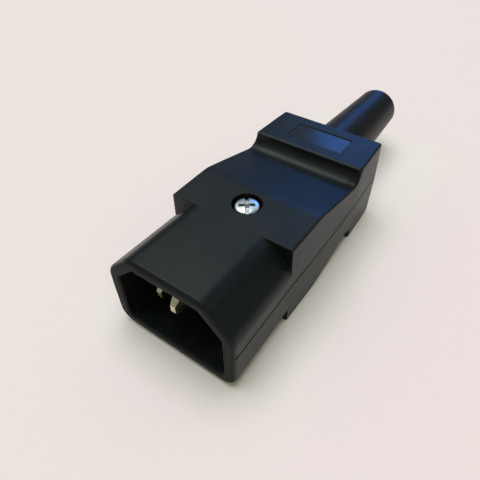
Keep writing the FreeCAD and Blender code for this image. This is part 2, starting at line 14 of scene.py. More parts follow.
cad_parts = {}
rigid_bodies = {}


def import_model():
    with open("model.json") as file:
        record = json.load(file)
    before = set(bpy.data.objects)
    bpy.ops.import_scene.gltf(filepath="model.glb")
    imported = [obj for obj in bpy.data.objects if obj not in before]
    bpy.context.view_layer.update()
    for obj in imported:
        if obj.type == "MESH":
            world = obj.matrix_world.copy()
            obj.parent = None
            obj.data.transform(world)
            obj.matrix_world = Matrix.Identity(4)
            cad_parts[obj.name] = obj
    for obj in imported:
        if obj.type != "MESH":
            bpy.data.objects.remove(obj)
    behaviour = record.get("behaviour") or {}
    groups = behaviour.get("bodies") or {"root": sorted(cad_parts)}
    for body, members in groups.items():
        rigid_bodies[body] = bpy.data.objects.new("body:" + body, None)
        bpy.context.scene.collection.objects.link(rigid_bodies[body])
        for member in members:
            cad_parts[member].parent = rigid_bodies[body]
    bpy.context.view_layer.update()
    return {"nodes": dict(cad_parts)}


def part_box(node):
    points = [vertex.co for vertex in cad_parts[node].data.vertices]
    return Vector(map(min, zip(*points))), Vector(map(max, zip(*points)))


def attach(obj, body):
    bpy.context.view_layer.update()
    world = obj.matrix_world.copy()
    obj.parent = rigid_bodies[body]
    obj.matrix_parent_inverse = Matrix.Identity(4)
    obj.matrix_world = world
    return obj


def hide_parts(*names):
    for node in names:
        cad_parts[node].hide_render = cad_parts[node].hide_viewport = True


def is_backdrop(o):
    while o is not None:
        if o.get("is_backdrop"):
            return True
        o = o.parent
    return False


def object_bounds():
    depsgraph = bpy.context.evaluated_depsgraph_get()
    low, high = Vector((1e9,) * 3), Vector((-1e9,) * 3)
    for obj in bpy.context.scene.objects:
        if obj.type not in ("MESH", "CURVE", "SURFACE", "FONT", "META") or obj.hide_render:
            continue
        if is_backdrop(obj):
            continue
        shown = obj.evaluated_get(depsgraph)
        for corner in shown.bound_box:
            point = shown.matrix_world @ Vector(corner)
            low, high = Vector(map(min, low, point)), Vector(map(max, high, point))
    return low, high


MM = 0.001
BODY = "root"
MERGE_MM = 0.002
SEAM_MM = 0.0005
NOISE_MIDDLE = 0.5
SPECK_CORE = 0.4
EDGE_SAMPLES = 8
EDGE_BEND = (0.01, 0.2)
LOG = logging.getLogger("plug")

Triple = tuple[float, float, float]
Colour = Triple
Number = Union["Sock", float]


class Carve(Enum):
    """How a second shape works on a first one."""

    AWAY = "DIFFERENCE"
    DOWN_TO = "INTERSECT"


class Marks(Enum):
    """Which way the fine lines of a metal finish run."""

    ALONG_PIN = (40.0, 1.0, 40.0)
    ALL_ROUND = (1.0, 1.0, 1.0)


class Sock:
    """An output socket of a shader, with sums on values written as Python operators."""

    def __init__(self, graph: "Graph", socket: bpy.types.NodeSocket) -> None:
        """Keep the shader and the socket."""
        self.graph = graph
        self.socket = socket

    def _sum(self, operation: str, first: Number, second: Number) -> "Sock":
        """Return a Math node's result for two values."""
        return self.graph.node("ShaderNodeMath", {"operation": operation}, {0: first, 1: second})

    def __add__(self, other: Number) -> "Sock":
        """Return self + other."""
        return self._sum("ADD", self, other)

    def __radd__(self, other: Number) -> "Sock":
        """Return other + self."""
        return self._sum("ADD", other, self)

    def __sub__(self, other: Number) -> "Sock":
        """Return self - other."""
        return self._sum("SUBTRACT", self, other)

    def __rsub__(self, other: Number) -> "Sock":
        """Return other - self."""
        return self._sum("SUBTRACT", other, self)

    def __mul__(self, other: Number) -> "Sock":
        """Return self * other."""
        return self._sum("MULTIPLY", self, other)

    def __rmul__(self, other: Number) -> "Sock":
        """Return other * self."""
        return self._sum("MULTIPLY", other, self)

    def __lt__(self, other: Number) -> "Sock":
        """Return 1 where self is below other, or else 0."""
        return self._sum("LESS_THAN", self, other)

    def __gt__(self, other: Number) -> "Sock":
        """Return 1 where self is above other, or else 0."""
        return self._sum("GREATER_THAN", self, other)

    def __abs__(self) -> "Sock":
        """Return the size of self without its sign."""
        return self._sum("ABSOLUTE", self, 0.0)

    def ease(self, start: float, end: float) -> "Sock":
        """Return a smooth step of self.

        Args:
            start: value at which the step is 0.
            end: value at which the step is 1; it may be below start.

        Returns:
            The step, from 0 to 1.
        """
        low, high = min(start, end), max(start, end)
        step = self.graph.node(
            "ShaderNodeMapRange",
            {"interpolation_type": "SMOOTHSTEP"},
            {"Value": self, "From Min": low, "From Max": high, "To Min": 0.0, "To Max": 1.0},
        )
        return step if end > start else 1 - step


class Graph:
    """A node tree that is being written."""

    def __init__(self, tree: bpy.types.NodeTree) -> None:
        """Empty the tree and keep it."""
        self.tree = tree
        tree.nodes.clear()

    def node(
        self,
        kind: str,
        settings: Optional[dict[str, Any]] = None,
        sockets: Optional[dict[Union[str, int], Any]] = None,
        out: Union[str, int] = 0,
    ) -> Sock:
        """Add a node.

        Args:
            kind: the node's type.
            settings: the node's own properties, set first; "stops" are a ramp's places and colours.
            sockets: values or links of its inputs, by name or number.
            out: the output that is wanted, by name or number.

        Returns:
            That output.
        """
        made = self.tree.nodes.new(kind)
        for name, value in (settings or {}).items():
            if name == "stops":
                self._set_stops(made.color_ramp, value)
            else:
                setattr(made, name, value)
        for key, value in (sockets or {}).items():
            if isinstance(value, Sock):
                self.tree.links.new(value.socket, made.inputs[key])
            else:
                made.inputs[key].default_value = value
        return Sock(self, made.outputs[out])

    @staticmethod
    def _set_stops(ramp: bpy.types.ColorRamp, stops: Sequence[tuple[float, Colour]]) -> None:
        """Give a ramp its places and colours, in order."""
        while len(ramp.elements) < len(stops):
            ramp.elements.new(1.0)
        for element, (place, colour) in zip(ramp.elements, stops):
            element.position = place
            element.color = (*colour, 1.0)

    def place(self, stretch: Triple = (1.0, 1.0, 1.0)) -> Sock:
        """Return the Object coordinates, in metres, each axis multiplied by a stretch."""
        spot = self.node("ShaderNodeTexCoord", out="Object")
        if stretch == (1.0, 1.0, 1.0):
            return spot
        return self.node("ShaderNodeMapping", {"vector_type": "POINT"}, {"Vector": spot, "Scale": stretch})

    def axes(self, vector: Sock) -> tuple[Sock, Sock, Sock]:
        """Return the three parts of a vector."""
        first = self.node("ShaderNodeSeparateXYZ", sockets={0: vector})
        outputs = first.socket.node.outputs
        return first, Sock(self, outputs[1]), Sock(self, outputs[2])

    def noise(self, spot: Sock, size_mm: float, detail: float = 2.0) -> Sock:
        """Return soft noise from 0 to 1.

        Args:
            spot: the coordinates that it reads.
            size_mm: about how large its lumps are.
            detail: how many finer layers it has.

        Returns:
            The noise's value.
        """
        scale = 1 / (size_mm * MM)
        return self.node("ShaderNodeTexNoise", sockets={"Vector": spot, "Scale": scale, "Detail": detail})

    def specks(self, spot: Sock, spacing_mm: float, radius: float, share: float) -> Sock:
        """Return scattered round specks, 1 inside a speck.

        Args:
            spot: the coordinates that they lie on.
            spacing_mm: size of the cells that hold one speck each.
            radius: a speck's radius as a share of its cell.
            share: how many of the cells show their speck.

        Returns:
            The mask of the specks.
        """
        scale = 1 / (spacing_mm * MM)
        away = self.node("ShaderNodeTexVoronoi", sockets={"Vector": spot, "Scale": scale}, out="Distance")
        tint = Sock(self, away.socket.node.outputs["Color"])
        return away.ease(radius, radius * SPECK_CORE) * (self.axes(tint)[0] < share)

    def blend(self, share: Number, first: Union[Sock, Colour], second: Union[Sock, Colour]) -> Sock:
        """Return a colour between two colours.

        Args:
            share: 0 for the first, 1 for the second.
            first: a colour or a link.
            second: a colour or a link.

        Returns:
            The mixed colour.
        """
        ends = [end if isinstance(end, Sock) else (*end, 1.0) for end in (first, second)]
        return self.node("ShaderNodeMix", {"data_type": "RGBA"}, {0: share, 6: ends[0], 7: ends[1]}, 2)

    def soft_edge(self, radius_mm: Number) -> tuple[Sock, Sock]:
        """Return the rounded normal at sharp edges.

        Args:
            radius_mm: the radius that an edge seems to have, which may vary.

        Returns:
            The normal, and a mask that is above 0 only along the edges.
        """
        rounded = self.node("ShaderNodeBevel", {"samples": EDGE_SAMPLES}, {"Radius": radius_mm * MM})
        plain = self.node("ShaderNodeNewGeometry", out="Normal")
        both = {0: rounded, 1: plain}
        alike = self.node("ShaderNodeVectorMath", {"operation": "DOT_PRODUCT"}, both, "Value")
        return rounded, (1 - alike).ease(*EDGE_BEND)

    def relief(self, height: Sock, height_mm: float, normal: Sock) -> Sock:
        """Return the normal of a fine relief.

        Args:
            height: the relief, from 0 to 1.
            height_mm: how deep it is.
            normal: the normal that it starts from.

        Returns:
            The bumped normal.
        """
        depth = height_mm * MM
        return self.node("ShaderNodeBump", sockets={"Distance": depth, "Height": height, "Normal": normal})

    def surface(self, sockets: dict[str, Any]) -> None:
        """End the tree in one principled surface with these inputs."""
        shader = self.node("ShaderNodeBsdfPrincipled", sockets=sockets)
        self.node_output("ShaderNodeOutputMaterial", shader)

    def node_output(self, kind: str, shader: Sock) -> None:
        """Link a shader to a new output node of this type."""
        made = self.tree.nodes.new(kind)
        self.tree.links.new(shader.socket, made.inputs["Surface"])


def new_material(name: str) -> tuple[bpy.types.Material, Graph]:
    """Return a new material and its empty graph."""
    material = bpy.data.materials.new(name)
    material.use_nodes = True
    return material, Graph(material.node_tree)


@dataclass(frozen=True)
class Patch:
    """A box, in metres, where a surface has a roughness of its own and may have a thin clear coat."""

    low: Vector
    high: Vector
    roughness: float
    coat: float = 0.0
    border_mm: float = 0.05

    def mask(self, graph: Graph) -> Sock:
        """Return 1 inside the box, falling to 0 across its soft border."""
        soft = self.border_mm * MM
        sides = zip(graph.axes(graph.place()), self.low, self.high)
        inside = [along.ease(low - soft, low) * along.ease(high + soft, high) for along, low, high in sides]
        return inside[0] * inside[1] * inside[2]


@dataclass(frozen=True)
class MouldedPlastic:
    """Satin moulded plastic with a fine grain, faint flow marks, rubbed edges, a painted highlight line
    along chosen edges and a few specks of dust.
    """

    name: str
    dark: Colour
    light: Colour
    wear_and_highlight: Colour
    dust: Colour = (0.05, 0.05, 0.048)
    dust_share: float = 0.7
    speck_spacing_mm: float = 1.9
    speck_radius: float = 0.09
    speck_share: float = 0.12
    blotch_mm: float = 9.0
    blotch_detail: float = 3.0
    blotch_fade: tuple[float, float] = (0.3, 0.7)
    flow_mm: float = 2.6
    flow_detail: float = 4.0
    flow_stretch: Triple = (1.0, 0.3, 1.0)
    roughness: float = 0.38
    ior: float = 1.47
    gloss: float = 0.23
    swing: float = 0.12
    grain_mm: float = 0.16
    grain_share: float = 0.7
    grain_height_mm: float = 0.004
    peel_mm: float = 1.4
    peel_detail: float = 1.0
    peel_share: float = 0.3
    edge_mm: float = 0.3
    edge_share: float = 0.1
    edge_polish: float = 0.06
    highlight_line_at: tuple[float, ...] = ()
    highlight_reach_mm: float = 1.6
    highlight_round_mm: float = 1.0
    painted_highlight_share: float = 0.6
    coat_roughness: float = 0.44
    patches: tuple[Patch, ...] = ()

    def _highlight_line(self, graph: Graph) -> Number:
        """Return 1 at the places along y where the edges are rounded more and get a painted highlight line,
        falling to 0 beside them.
        """
        along = graph.axes(graph.place())[1]
        reach = self.highlight_reach_mm * MM
        return sum((abs(along - place).ease(reach, reach / 2) for place in self.highlight_line_at), 0.0)

    def material(self) -> bpy.types.Material:
        """Return the finished material."""
        material, graph = new_material(self.name)
        spot = graph.place()
        blotch = graph.noise(spot, self.blotch_mm, self.blotch_detail)
        flow = graph.noise(graph.place(self.flow_stretch), self.flow_mm, self.flow_detail)
        # rubbed is 1 along the painted highlight line, where the edges are also rounded more.
        rubbed = self._highlight_line(graph)
        normal, edge = graph.soft_edge(self.edge_mm + rubbed * (self.highlight_round_mm - self.edge_mm))
        colour = graph.blend(blotch.ease(*self.blotch_fade), self.dark, self.light)
        # Edges take a little of the wear colour everywhere; along the highlight line they take much more of
        # it, as a painted highlight.
        colour = graph.blend(edge * (self.edge_share + rubbed * self.painted_highlight_share), colour, self.wear_and_highlight)
        specks = graph.specks(spot, self.speck_spacing_mm, self.speck_radius, self.speck_share)
        colour = graph.blend(specks * self.dust_share, colour, self.dust)
        roughness = self.roughness + (flow - NOISE_MIDDLE) * self.swing - edge * self.edge_polish
        masks = [(patch, patch.mask(graph)) for patch in self.patches]
        for patch, mask in masks:
            roughness = roughness + mask * (patch.roughness - self.roughness)
        coat = sum((mask * patch.coat for patch, mask in masks if patch.coat), 0.0)
        grain = graph.noise(spot, self.grain_mm)
        peel = graph.noise(spot, self.peel_mm, self.peel_detail)
        relief = grain * self.grain_share + peel * self.peel_share
        graph.surface({
            "Base Color": colour,
            "Roughness": roughness,
            "IOR": self.ior,
            "Specular IOR Level": self.gloss,
            "Coat Weight": coat,
            "Coat Roughness": self.coat_roughness,
            "Normal": graph.relief(relief, self.grain_height_mm, normal),
        })
        return material


@dataclass(frozen=True)
class SatinRubber:
    """Smooth satin rubber with a bloom that varies and light handling marks."""

    name: str
    dark: Colour
    bloom: Colour
    dust: Colour = (0.06, 0.06, 0.06)
    dust_share: float = 0.6
    speck_spacing_mm: float = 2.3
    speck_radius: float = 0.08
    speck_share: float = 0.1
    haze_mm: float = 6.0
    haze_detail: float = 4.0
    haze_fade: tuple[float, float] = (0.35, 0.75)
    rub_mm: float = 0.9
    rub_detail: float = 3.0
    rub_stretch: Triple = (1.0, 0.16, 1.0)
    rub_swing: float = 0.08
    roughness: float = 0.4
    ior: float = 1.5
    gloss: float = 0.205
    swing: float = 0.1
    grain_mm: float = 0.22
    grain_share: float = 0.6
    grain_height_mm: float = 0.005
    edge_mm: float = 0.25
    edge_polish: float = 0.05

    def material(self) -> bpy.types.Material:
        """Return the finished material."""
        material, graph = new_material(self.name)
        spot = graph.place()
        haze = graph.noise(spot, self.haze_mm, self.haze_detail)
        rubs = graph.noise(graph.place(self.rub_stretch), self.rub_mm, self.rub_detail)
        normal, edge = graph.soft_edge(self.edge_mm)
        colour = graph.blend(haze.ease(*self.haze_fade), self.dark, self.bloom)
        specks = graph.specks(spot, self.speck_spacing_mm, self.speck_radius, self.speck_share)
        colour = graph.blend(specks * self.dust_share, colour, self.dust)
        hazy, rubbed = haze - NOISE_MIDDLE, rubs - NOISE_MIDDLE
        roughness = self.roughness + hazy * self.swing + rubbed * self.rub_swing
        grain = graph.noise(spot, self.grain_mm)
        relief = grain * self.grain_share + rubs * (1 - self.grain_share)
        graph.surface({
            "Base Color": colour,
            "Roughness": roughness - edge * self.edge_polish,
            "IOR": self.ior,
            "Specular IOR Level": self.gloss,
            "Normal": graph.relief(relief, self.grain_height_mm, normal),
        })
        return material


@dataclass(frozen=True)
class PlatedMetal:
    """Bright plating with fine lines, a slight change of tint and rubbed edges."""

    name: str
    bright: Colour
    dull: Colour
    marks: Marks
    patch_mm: float = 1.7
    patch_detail: float = 4.0
    patch_fade: tuple[float, float] = (0.35, 0.75)
    roughness: float = 0.2
    swing: float = 0.12
    line_mm: float = 0.5
    line_detail: float = 3.0
    line_swing: float = 0.1
    line_height_mm: float = 0.002
    edge_mm: float = 0.1
    edge_share: float = 0.5

    def material(self) -> bpy.types.Material:
        """Return the finished material."""
        material, graph = new_material(self.name)
        spot = graph.place()
        patch = graph.noise(spot, self.patch_mm, self.patch_detail)
        stretch = self.marks.value
        lines = graph.noise(graph.place(stretch), self.line_mm * max(stretch), self.line_detail)
        normal, edge = graph.soft_edge(self.edge_mm)
        colour = graph.blend(patch.ease(*self.patch_fade), self.bright, self.dull)
        patchy, lined = patch - NOISE_MIDDLE, lines - NOISE_MIDDLE
        graph.surface({
            "Base Color": graph.blend(edge * self.edge_share, colour, self.bright),
            "Metallic": 1.0,
            "Roughness": self.roughness + patchy * self.swing + lined * self.line_swing,
            "Normal": graph.relief(lines, self.line_height_mm, normal),
        })
        return material


@dataclass(frozen=True)
class TableTop:
    """Plain pale table with faint mottling, a little warmer on one side, with a greener painted shade tint
    round the plug in its middle.
    """

    name: str = "table_top"
    cool: Colour = (0.772, 0.69, 0.70)
    warm: Colour = (0.768, 0.652, 0.685)
    # Painted shade tint: the greener colour of the floor round the plug, where its shadow lies.
    near: Colour = (0.77, 0.724, 0.70)
    mottled: Colour = (0.72, 0.68, 0.64)
    mottle_mm: float = 30.0
    mottle_detail: float = 3.0
    mottle_share: float = 0.04
    warm_from_to_mm: tuple[float, float] = (-80.0, 120.0)
    shade_tint_across_mm: tuple[float, float] = (31.0, 14.0)
    shade_tint_along_mm: tuple[float, float] = (62.0, 40.0)
    roughness: float = 0.7
    swing: float = 0.1
    gloss: float = 0.2

    def material(self) -> bpy.types.Material:
        """Return the finished material."""
        material, graph = new_material(self.name)
        spot = graph.place()
        across, along, _ = graph.axes(spot)
        mottle = graph.noise(spot, self.mottle_mm, self.mottle_detail)
        fades = (self.warm_from_to_mm, self.shade_tint_across_mm, self.shade_tint_along_mm)
        warmth, wide, long = [[end * MM for end in ends] for ends in fades]
        colour = graph.blend(across.ease(*warmth), self.cool, self.warm)
        # Painted shade tint: greener round the plug, fading out across and along.
        middle = abs(across).ease(*wide) * abs(along).ease(*long)
        colour = graph.blend(middle, colour, self.near)
        graph.surface({
            "Base Color": graph.blend(mottle * self.mottle_share, colour, self.mottled),
            "Roughness": self.roughness + mottle * self.swing,
            "Specular IOR Level": self.gloss,
        })
        return material


def finished_object(name: str, mesh: bmesh.types.BMesh, smooth_deg: float = 32.0) -> bpy.types.Object:
    """Turn a bmesh into an object at the origin, with round faces shaded smooth.

    Args:
        name: the object's name.
        mesh: the shape, in metres, which is freed.
        smooth_deg: edges that bend by more than this stay sharp.

    Returns:
        The linked object.
    """
    bmesh.ops.remove_doubles(mesh, verts=mesh.verts, dist=MERGE_MM * MM)
    bmesh.ops.recalc_face_normals(mesh, faces=mesh.faces)
    data = bpy.data.meshes.new(name)
    mesh.to_mesh(data)
    mesh.free()
    data.shade_smooth()
    data.set_sharp_from_angle(angle=math.radians(smooth_deg))
    made = bpy.data.objects.new(name, data)
    bpy.context.scene.collection.objects.link(made)
    return made


def turned(outline_mm: list[tuple[float, float]], centre: Vector, steps: int = 96) -> bmesh.types.BMesh:
    """Return a body of revolution about an upright axis.

    Args:
        outline_mm: radius and height of each point, from the axis out and back to it.
        centre: a point on the axis, from which heights are counted.
        steps: how many faces go round.

    Returns:
        The closed shape.
    """
    mesh = bmesh.new()
    places = [centre + Vector((radius * MM, 0.0, height * MM)) for radius, height in outline_mm]
    points = [mesh.verts.new(place) for place in places]
    edges = [mesh.edges.new(pair) for pair in zip(points, points[1:])]
    bmesh.ops.spin(
        mesh,
        geom=points + edges,
        cent=centre,
        axis=(0, 0, 1),
        angle=math.tau,
        steps=steps,
        use_merge=True,
    )
    bmesh.ops.remove_doubles(mesh, verts=mesh.verts, dist=SEAM_MM * MM)
    bmesh.ops.recalc_face_normals(mesh, faces=mesh.faces)
    return mesh


def carved(
    name: str,
    first: bmesh.types.BMesh,
    others: list[tuple[Carve, bmesh.types.BMesh]],
) -> bmesh.types.BMesh:
    """Work other shapes on a first one, one after another.

    Args:
        name: a name for the objects that stand for the shapes meanwhile.
        first: the shape that is worked on, which is freed.
        others: how each other shape works, and the shape, which is freed.

    Returns:
        The result.
    """
    made = finished_object(name, first)
    tools = []
    for index, (carve, shape) in enumerate(others):
        tool = finished_object(f"{name}_tool_{index}", shape)
        step = made.modifiers.new(f"carve_{index}", "BOOLEAN")
        step.operation = carve.value
        step.solver = "EXACT"
        step.object = tool
        tools.append(tool)
    graph = bpy.context.evaluated_depsgraph_get()
    result = bmesh.new()
    result.from_object(made, graph)
    for spent in [made, *tools]:
        data = spent.data
        bpy.data.objects.remove(spent)
        bpy.data.meshes.remove(data)
    return result


def dress(node: bpy.types.Object, material: bpy.types.Material) -> None:
    """Give an object one material, in its first slot."""
    if not node.material_slots:
        node.data.materials.append(material)
    for slot in node.material_slots:
        slot.material = material
    LOG.info("%s dressed in %s", node.name, material.name)


@dataclass
class Housing:
    """The two moulded shells: a smooth panel on the tail block, a sheen in front of it, and a matt rim."""

    panel_width: float = 14.0
    panel_length: float = 6.2
    panel_depth: float = 0.2
    panel_height: float = 20.35
    panel_roughness: float = 0.16
    valley_length: float = 2.8
    valley_width: float = 22.0
    valley_height: float = 15.0
    valley_roughness: float = 0.44
    valley_coat: float = 0.36
    valley_border: float = 1.0
    valley_setback: float = 1.2
    rim_depth: float = 0.2
    rim_roughness: float = 0.66
    block_length: float = 12.3

    def panel(self) -> Patch:
        """Return the panel's smooth floor."""
        rest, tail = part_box("base_shell")
        middle = Vector((0.0, tail.y - self.block_length / 2 * MM, rest.z + self.panel_height * MM))
        half = Vector((self.panel_width / 2, self.panel_length / 2, self.panel_depth / 2)) * MM
        return Patch(middle - half, middle + half, self.panel_roughness)

    def valley(self) -> Patch:
        """Return the hollow in front of the tail block, which has a thin sheen."""
        rest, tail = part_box("base_shell")
        crest = tail.y - self.block_length * MM
        half = self.valley_width / 2 * MM
        low = Vector((-half, crest - self.valley_length * MM, rest.z + self.valley_height * MM))
        high = Vector((half, crest - self.valley_setback * MM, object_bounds()[1].z))
        return Patch(low, high, self.valley_roughness, self.valley_coat, self.valley_border)

    def rim(self) -> Patch:
        """Return the matt face of the shroud's rim."""
        low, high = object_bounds()
        inner = Vector((high.x, low.y + self.rim_depth * MM, high.z))
        return Patch(low, inner, self.rim_roughness)

    def finish(self) -> MouldedPlastic:
        """Return the shells' plastic, with a painted highlight line along the front edge of the tail block.
        """
        return MouldedPlastic(
            name="black_moulding",
            dark=(0.0046, 0.0066, 0.0070),
            light=(0.0066, 0.0090, 0.0094),
            wear_and_highlight=(0.07, 0.076, 0.078),
            # The painted highlight line runs along the front edge of the tail block.
            highlight_line_at=(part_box("base_shell")[1].y - self.block_length * MM,),
            patches=(self.panel(), self.valley(), self.rim()),
        )

    def dress(self, nodes: dict[str, bpy.types.Object]) -> None:
        """Dress both shells."""
        material = self.finish().material()
        for name in ("base_shell", "cover_shell"):
            dress(nodes[name], material)


@dataclass
class CoverScrew:
    """Pan-head screw with a slot and a tapered cross recess, and a thread on its lower end."""

    head_height: float = 2.2
    crown_height: float = 0.17
    crown_radius: float = 2.2
    crown_steps: int = 4
    rim_height: float = 1.5
    shoulder_deg: tuple[int, ...] = (30, 45, 60, 75, 90)
    seat_round: float = 0.1
    slot_width: float = 0.8
    slot_depth: float = 0.85
    slot_overrun: float = 0.5
    cross_span: float = 3.5
    cross_floor_span: float = 1.5
    cross_depth: float = 1.5
    cross_deg: float = 90.0
    cutter_rise: float = 0.5
    turn_deg: float = -54.0
    core_radius: float = 1.2
    foot_inset: float = 0.25
    foot_height: float = 0.3
    shank_overlap: float = 0.3
    shank_steps: int = 48
    thread_radius: float = 1.44
    thread_root_sink: float = 0.05
    thread_start: float = 0.2
    pitch: float = 0.5
    ridge_share: float = 0.84
    thread_turns: int = 15
    thread_steps: int = 28

    def _head_outline(self, radius: float) -> list[tuple[float, float]]:
        """Return the head's outline, from the middle of its crown to the middle of its seat."""
        top = self.head_height
        edge = top - self.crown_height
        shares = [step / self.crown_steps for step in range(self.crown_steps + 1)]
        crown = [(self.crown_radius * s, top - self.crown_height * s * s) for s in shares]
        fall = edge - self.rim_height
        out = radius - self.crown_radius
        turns = [math.radians(step) for step in self.shoulder_deg]
        shoulder = [
            (self.crown_radius + out * math.sin(a), self.rim_height + fall * math.cos(a)) for a in turns
        ]
        seat = [(radius, self.seat_round), (radius - self.seat_round, 0.0), (0.0, 0.0)]
        return crown + shoulder + seat

    def _reach(self, height: float) -> float:
        """Return how far the arms of the recess reach from the axis, at a height above the head's seat."""
        floor = self.head_height - self.cross_depth
        lean = (self.cross_span - self.cross_floor_span) / self.cross_depth
        return (self.cross_floor_span + lean * (height - floor)) / 2

    def _cutter(self, side: list[tuple[float, float]]) -> bmesh.types.BMesh:
        """Return a cutter as wide as the slot, with both ends alike.

        Args:
            side: distances from the axis and heights above the head's seat, down one end.

        Returns:
            The cutter, lengthwise along x, counted from the middle of the head's seat.
        """
        mesh = bmesh.new()
        outline = side + [(-out, height) for out, height in reversed(side)]
        near = -self.slot_width / 2
        wall = mesh.faces.new([mesh.verts.new(Vector((out, near, height)) * MM) for out, height in outline])
        grown = bmesh.ops.extrude_face_region(mesh, geom=[wall])["geom"]
        far = [item for item in grown if isinstance(item, bmesh.types.BMVert)]
        bmesh.ops.translate(mesh, verts=far, vec=(0, self.slot_width * MM, 0))
        return mesh

    def _placed(self, mesh: bmesh.types.BMesh, seat: Vector, extra_deg: float = 0.0) -> bmesh.types.BMesh:
        """Turn a cutter to its direction and move it to the head.

        Args:
            mesh: the cutter.
            seat: the middle of the head's seat.
            extra_deg: its turn away from the slot's direction.

        Returns:
            The same cutter.
        """
        turn = Matrix.Rotation(math.radians(self.turn_deg + extra_deg), 3, "Z")
        bmesh.ops.rotate(mesh, verts=mesh.verts, cent=(0, 0, 0), matrix=turn)
        bmesh.ops.translate(mesh, verts=mesh.verts, vec=seat)
        return mesh

    def _recess(self, radius: float, seat: Vector) -> list[tuple[Carve, bmesh.types.BMesh]]:
        """Return the cutters for the slot with one arm pair below it, and for the other arm pair.

        Args:
            radius: the head's radius.
            seat: the middle of the head's seat.

        Returns:
            How each cutter works, and the cutter in its place.
        """
        above = self.head_height + self.cutter_rise
        floor = self.head_height - self.slot_depth
        deep = self.head_height - self.cross_depth
        across = radius + self.slot_overrun
        bottom = (self._reach(deep), deep)
        slot = self._cutter([(across, above), (across, floor), (self._reach(floor), floor), bottom])
        arms = self._cutter([(self._reach(above), above), bottom])
        placed = [self._placed(slot, seat), self._placed(arms, seat, self.cross_deg)]
        return [(Carve.AWAY, cutter) for cutter in placed]

    def _thread(self, start: Vector) -> bmesh.types.BMesh:
        """Return the closed ridge of the thread, which winds up from a point on the axis."""
        mesh = bmesh.new()
        steps = self.thread_steps
        inner = self.core_radius - self.thread_root_sink
        high = self.ridge_share * self.pitch
        ridge = [(inner, 0.0), (self.thread_radius, high / 2), (inner, high)]
        points = [mesh.verts.new(start + Vector((radius, 0.0, height)) * MM) for radius, height in ridge]
        edges = [mesh.edges.new(pair) for pair in zip(points, points[1:] + points[:1])]
        bmesh.ops.spin(
            mesh,
            geom=points + edges,
            cent=start,
            axis=(0, 0, 1),
            dvec=(0, 0, self.pitch * MM / steps),
            angle=math.tau * self.thread_turns,
            steps=steps * self.thread_turns,
        )
        bmesh.ops.holes_fill(mesh, edges=[edge for edge in mesh.edges if edge.is_boundary])
        return mesh

    def build(self) -> bpy.types.Object:
        """Return the screw, in place of its plain solid."""
        low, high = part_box("cover_screw")
        middle = (low + high) / 2
        radius = (high.x - low.x) / 2 / MM
        seat = Vector((middle.x, middle.y, high.z - self.head_height * MM))
        length = (seat.z - low.z) / MM
        head = turned(self._head_outline(radius), seat)
        mesh = carved("cover_screw_head", head, self._recess(radius, seat))
        foot = Vector((middle.x, middle.y, low.z))
        core, top = self.core_radius, length + self.shank_overlap
        tip = [(0.0, 0.0), (core - self.foot_inset, 0.0), (core, self.foot_height)]
        shank = turned(tip + [(core, top), (0.0, top)], foot, self.shank_steps)
        thread = self._thread(foot + Vector((0, 0, self.thread_start * MM)))
        for part in (shank, thread):
            data = bpy.data.meshes.new("cover_screw_part")
            part.to_mesh(data)
            part.free()
            mesh.from_mesh(data)
            bpy.data.meshes.remove(data)
        return finished_object("cover_screw_fine", mesh)

    def dress(self, piece: bpy.types.Object, material: bpy.types.Material) -> None:
        """Dress the screw, and let it ride and stand for its solid."""
        dress(piece, material)
        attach(piece, BODY)
        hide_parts("cover_screw")


@dataclass
class CoverNut:
    """Hexagon nut with chamfered corners and a countersunk bore."""

    sides: int = 6
    corner_drop: float = 0.34
    corner_inset: float = 0.6
    sink: float = 0.3
    bore_radius: float = 1.5
    spare: float = 0.1
    hair: float = 0.01
    smooth_deg: float = 20.0

    def build(self) -> bpy.types.Object:
        """Return the nut, in place of its plain solid."""
        low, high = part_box("cover_nut")
        middle = (low + high) / 2
        radius = (high.x - low.x) / 2 / MM
        height = (high.z - low.z) / MM
        base = Vector((middle.x, middle.y, low.z))
        mesh = bmesh.new()
        bmesh.ops.create_cone(
            mesh,
            cap_ends=True,
            segments=self.sides,
            radius1=radius * MM,
            radius2=radius * MM,
            depth=height * MM,
        )
        widest = max(mesh.verts, key=lambda vert: vert.co.x)
        turn = Matrix.Rotation(-math.atan2(widest.co.y, widest.co.x), 3, "Z")
        bmesh.ops.rotate(mesh, verts=mesh.verts, cent=(0, 0, 0), matrix=turn)
        bmesh.ops.translate(mesh, verts=mesh.verts, vec=middle)
        spare, hair = self.spare, self.hair
        small, wide = radius - self.corner_inset, radius + spare
        barrel = [(0.0, -hair), (small, -hair), (wide, self.corner_drop), (wide, height - self.corner_drop)]
        barrel += [(small, height + hair), (0.0, height + hair)]
        bore, mouth = self.bore_radius, self.bore_radius + self.sink
        hole = [(0.0, -spare), (mouth, -spare), (mouth, 0.0), (bore, self.sink), (bore, height - self.sink)]
        hole += [(mouth, height), (mouth, height + spare), (0.0, height + spare)]
        shapes = [(Carve.DOWN_TO, turned(barrel, base)), (Carve.AWAY, turned(hole, base))]
        nut = carved("cover_nut_blank", mesh, shapes)
        return finished_object("cover_nut_fine", nut, self.smooth_deg)

    def dress(self, piece: bpy.types.Object, material: bpy.types.Material) -> None:
        """Dress the nut, and let it ride and stand for its solid."""
        dress(piece, material)
        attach(piece, BODY)
        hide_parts("cover_nut")


@dataclass
class Contacts:
    """The three pins with their terminal screws."""

    pins: tuple[str, ...] = ("line_pin", "neutral_pin", "earth_pin")
    screws: str = "terminal_screws"

    def dress(self, nodes: dict[str, bpy.types.Object], screw_metal: bpy.types.Material) -> None:
        """Dress the pins in their own plating and the screws in a given one."""
        metal = PlatedMetal(
            name="nickel_over_brass",
            bright=(0.80, 0.76, 0.64),
            dull=(0.66, 0.60, 0.46),
            marks=Marks.ALONG_PIN,
            roughness=0.24,
            line_mm=0.2,
        ).material()
        for name in self.pins:
            dress(nodes[name], metal)
        dress(nodes[self.screws], screw_metal)


